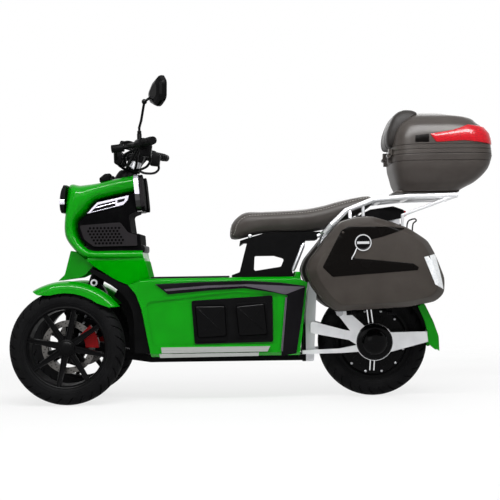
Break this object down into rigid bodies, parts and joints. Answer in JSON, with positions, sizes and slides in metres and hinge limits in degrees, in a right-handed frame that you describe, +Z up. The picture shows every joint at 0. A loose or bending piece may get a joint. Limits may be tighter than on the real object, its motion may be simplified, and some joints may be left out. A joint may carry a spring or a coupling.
{
  "type": "electric three-wheel scooter",
  "caption": "Electric scooter with a pair of steered front wheels, a hub-motor rear wheel, battery floor, padded seat, rear rack, top case and side panniers that open.",
  "frame": {"origin": "on the ground under the middle of the bounding box", "axes": "+X to the rear, -Y to the rider's left, +Z up; the front wheels are at -X"},
  "size_m": [2.0633, 0.71, 1.3722],
  "materials": {
    "green_paint": "high gloss paint",
    "black_plastic": "fine grain",
    "dark_plastic": "satin",
    "gloss_black": "gloss",
    "black_steel": "satin black",
    "battery_case": "matte",
    "bare_aluminium": "satin",
    "bright_trim": "metallic silver",
    "silver_paint": "silver paint",
    "mat_rubber": "ribbed",
    "lamp_glass": "clear",
    "red_lens": "ribbed clear red",
    "red_paint": "gloss",
    "seat_leather": "grained",
    "case_plastic": "grained",
    "shock_steel": "satin",
    "disc_steel": "turned",
    "tyre": "matte",
    "wheel_black": "satin",
    "mirror_glass": "mirror"
  },
  "bodies": {
    "chassis": {"frame": "black_steel", "floor_body": "green_paint", "battery_pack": "battery_case", "battery_covers": "black_plastic", "side_trims": "dark_plastic", "side_rails": "bare_aluminium", "floor_mat": "mat_rubber", "splash_shield": "black_plastic", "cowl": "green_paint", "leg_shield": "green_paint", "inner_panel": "black_plastic", "cowl_trims": "bright_trim", "headlamps": "gloss_black", "headlamp_lenses": "lamp_glass", "front_apron": "green_paint", "wishbones": "black_steel", "front_shocks": "shock_steel", "seat": "seat_leather", "seat_frame": "black_steel", "tail_housing": "black_plastic", "tail_lamp": "red_lens", "rear_rack": "silver_paint", "top_case_tub": "case_plastic", "pannier_tub_left": "case_plastic", "pannier_tub_right": "case_plastic", "swingarm_left": "silver_paint", "swingarm_right": "silver_paint", "rear_shocks": "shock_steel", "rear_mudguard": "black_plastic", "rear_blade": "green_paint", "motor_covers": "gloss_black"},
    "steering": {"handlebar": "black_steel", "bar_controls": "black_plastic", "display": "gloss_black", "mirror_arm": "gloss_black", "mirror_glass": "mirror_glass"},
    "tie_rod": {"tie_rod": "black_steel"},
    "knuckle_left": {"knuckle_left": "black_steel", "fender_left": "green_paint", "caliper_left": "red_paint"},
    "knuckle_right": {"knuckle_right": "black_steel", "fender_right": "green_paint", "caliper_right": "red_paint"},
    "wheel_front_left": {"front_tyre_left": "tyre", "front_rim_left": "wheel_black", "brake_disc_left": "disc_steel"},
    "wheel_front_right": {"front_tyre_right": "tyre", "front_rim_right": "wheel_black", "brake_disc_right": "disc_steel"},
    "wheel_rear": {"rear_tyre": "tyre", "rear_hub": "wheel_black"},
    "top_case_lid": {"top_case_lid": "case_plastic", "top_case_pad": "seat_leather", "top_case_reflector": "red_lens"},
    "pannier_lid_left": {"pannier_lid_left": "case_plastic"},
    "pannier_lid_right": {"pannier_lid_right": "case_plastic"}
  },
  "joints": [
    {"name": "steering", "type": "hinge", "parent": "chassis", "child": "steering", "pos_m": [-0.5611, 0, 0.90386], "axis": [0.3256, 0, 0.9455], "range_deg": [-30, 30]},
    {"name": "knuckle_left_turn", "type": "hinge", "parent": "chassis", "child": "knuckle_left", "pos_m": [-0.789, -0.125, 0.242], "axis": [0.3256, 0, 0.9455], "range_deg": [-30, 30]},
    {"name": "knuckle_right_turn", "type": "hinge", "parent": "chassis", "child": "knuckle_right", "pos_m": [-0.789, 0.125, 0.242], "axis": [0.3256, 0, 0.9455], "range_deg": [-30, 30]},
    {"name": "tie_rod_turn", "type": "hinge", "parent": "steering", "child": "tie_rod", "pos_m": [-0.78989, 0, 0.40835], "axis": [0.3256, 0, 0.9455], "range_deg": [-30, 30]},
    {"name": "wheel_front_left_spin", "type": "hinge", "parent": "knuckle_left", "child": "wheel_front_left", "pos_m": [-0.789, -0.215, 0.242], "axis": [0, 1, 0], "continuous": true},
    {"name": "wheel_front_right_spin", "type": "hinge", "parent": "knuckle_right", "child": "wheel_front_right", "pos_m": [-0.789, 0.215, 0.242], "axis": [0, 1, 0], "continuous": true},
    {"name": "wheel_rear_spin", "type": "hinge", "parent": "chassis", "child": "wheel_rear", "pos_m": [0.511, 0, 0.238], "axis": [0, 1, 0], "continuous": true},
    {"name": "top_case_lid_open", "type": "hinge", "parent": "chassis", "child": "top_case_lid", "pos_m": [0.586, 0, 1.0383], "axis": [0, -1, 0], "range_deg": [0, 80]},
    {"name": "pannier_lid_left_open", "type": "hinge", "parent": "chassis", "child": "pannier_lid_left", "pos_m": [0.501, -0.2345, 0.368], "axis": [1, 0, 0], "range_deg": [0, 75]},
    {"name": "pannier_lid_right_open", "type": "hinge", "parent": "chassis", "child": "pannier_lid_right", "pos_m": [0.501, 0.2345, 0.368], "axis": [-1, 0, 0], "range_deg": [0, 75]}
  ],
  "couplings": [
    {"joint": "knuckle_left_turn", "follows": "steering", "ratio": 1},
    {"joint": "knuckle_right_turn", "follows": "steering", "ratio": 1},
    {"joint": "tie_rod_turn", "follows": "steering", "ratio": -1}
  ]
}
